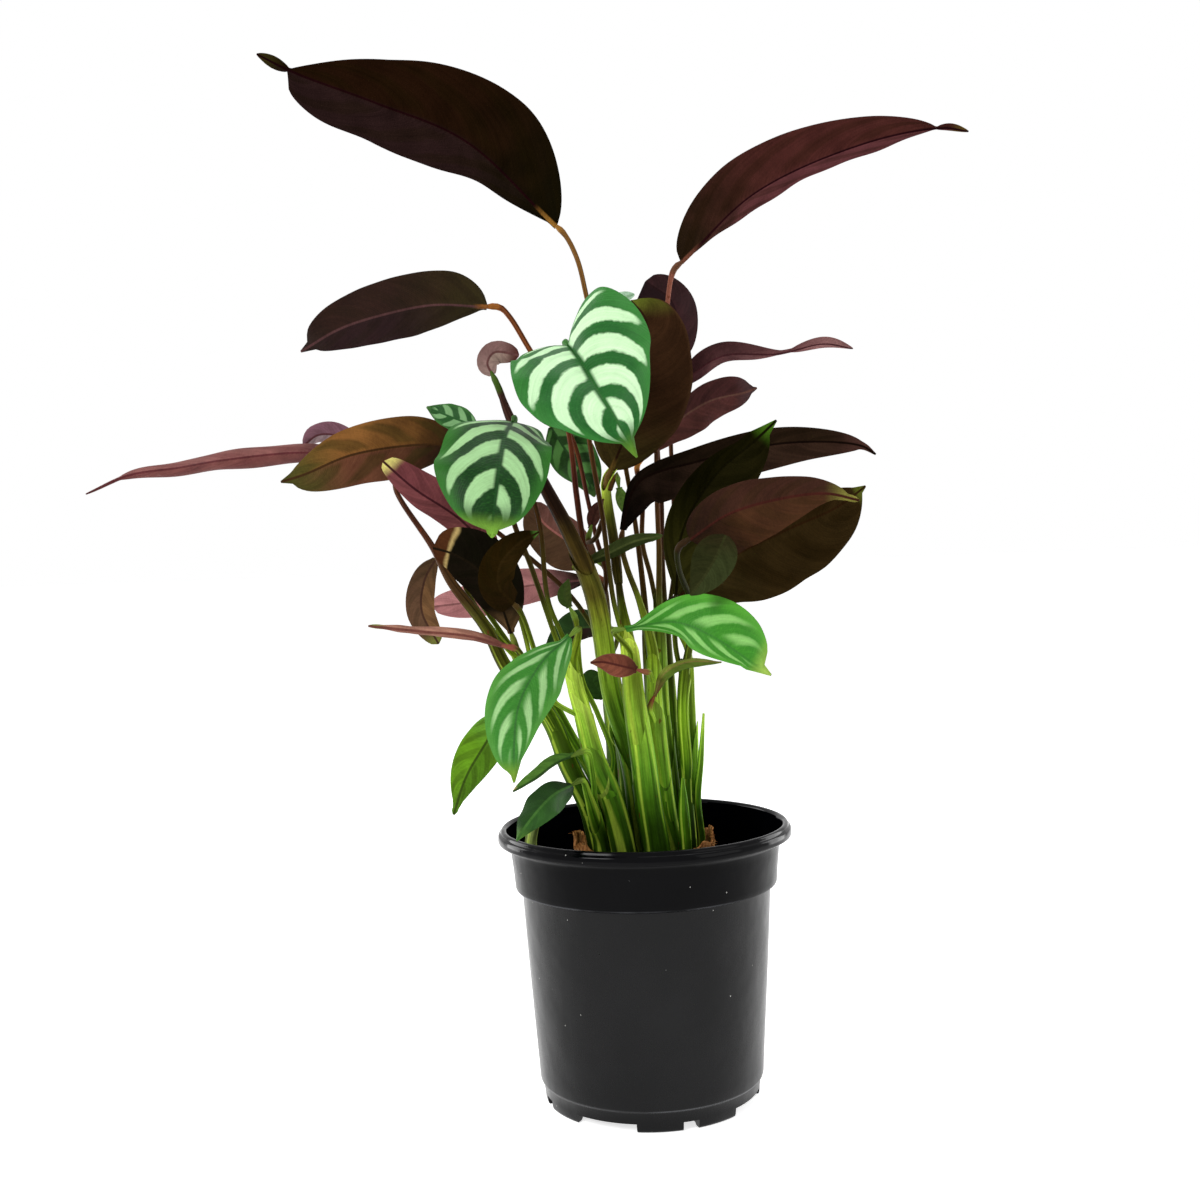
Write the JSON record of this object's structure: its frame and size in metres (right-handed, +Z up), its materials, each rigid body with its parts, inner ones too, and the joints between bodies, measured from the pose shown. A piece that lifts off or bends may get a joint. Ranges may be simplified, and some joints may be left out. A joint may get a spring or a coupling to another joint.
{
  "type": "potted ctenanthe house plant",
  "caption": "Leafy clump of upright sheathed stalks with striped and purple-backed leaves, standing in a round black nursery pot.",
  "frame": {"origin": "centre of the flat underside of the pot", "axes": "+Z up through the pot's axis; -Y towards the side the plant is usually seen from; +X to that viewer's right"},
  "size_m": [0.4494, 0.2213, 0.4899],
  "materials": {
    "pot_plastic": "gloss",
    "potting_mix": "matte",
    "coir_fibre": "matte",
    "rhizome": "matte",
    "stalk_green": "satin",
    "leaf_striped": "satin",
    "leaf_purple": "satin",
    "leaf_olive": "satin",
    "leaf_lime": "satin"
  },
  "bodies": {
    "root": {"pot": "pot_plastic", "potting_mix": "potting_mix", "fibre_plug": "coir_fibre", "rhizome_crown": "rhizome", "spear_slender": "stalk_green", "spear_pointed": "stalk_green", "shoot_01": "stalk_green", "shoot_02": "stalk_green", "shoot_03": "stalk_green", "shoot_04": "stalk_green", "shoot_05": "stalk_green", "shoot_06": "stalk_green", "shoot_07": "stalk_green", "shoot_08": "stalk_green", "shoot_09": "stalk_green", "shoot_10": "stalk_green", "shoot_11": "stalk_green", "shoot_12": "stalk_green", "shoot_13": "stalk_green", "shoot_14": "stalk_green", "leaf_tall_left": "leaf_purple", "leaf_tall_right": "leaf_purple", "leaf_upper_left": "leaf_purple", "leaf_rolled_far_left": "leaf_purple", "leaf_curl_left": "leaf_purple", "leaf_mauve_left": "leaf_purple", "leaf_plum_behind": "leaf_purple", "leaf_twisted_right": "leaf_purple", "leaf_plum_right": "leaf_purple", "leaf_dark_right": "leaf_purple", "leaf_russet_right": "leaf_purple", "leaf_purple_small": "leaf_purple", "leaf_rolled_pink": "leaf_purple", "leaf_hanging": "leaf_purple", "leaf_dusty_back": "leaf_purple", "leaf_mauve_back": "leaf_purple", "leaf_unfurling": "leaf_purple", "leaf_plum_small": "leaf_purple", "leaf_olive_left": "leaf_olive", "leaf_scorched": "leaf_olive", "leaf_olive_hooked": "leaf_olive", "leaf_umber_back": "leaf_olive", "leaf_olive_right": "leaf_olive", "leaf_broad_right": "leaf_olive", "leaf_striped_high": "leaf_striped", "leaf_striped_middle": "leaf_striped", "leaf_striped_small": "leaf_striped", "leaf_striped_right": "leaf_striped", "leaf_striped_low": "leaf_striped", "leaf_arching_low": "leaf_striped", "leaf_green_back": "leaf_striped", "leaf_green_bud": "leaf_striped", "leaf_striped_back": "leaf_striped", "leaf_lime_low": "leaf_lime", "leaf_rolled_low": "leaf_lime", "leaf_strap": "leaf_lime", "leaf_lime_arching": "leaf_lime", "leaf_stem_small": "leaf_lime", "leaf_hanging_small": "leaf_lime"}
  },
  "joints": []
}
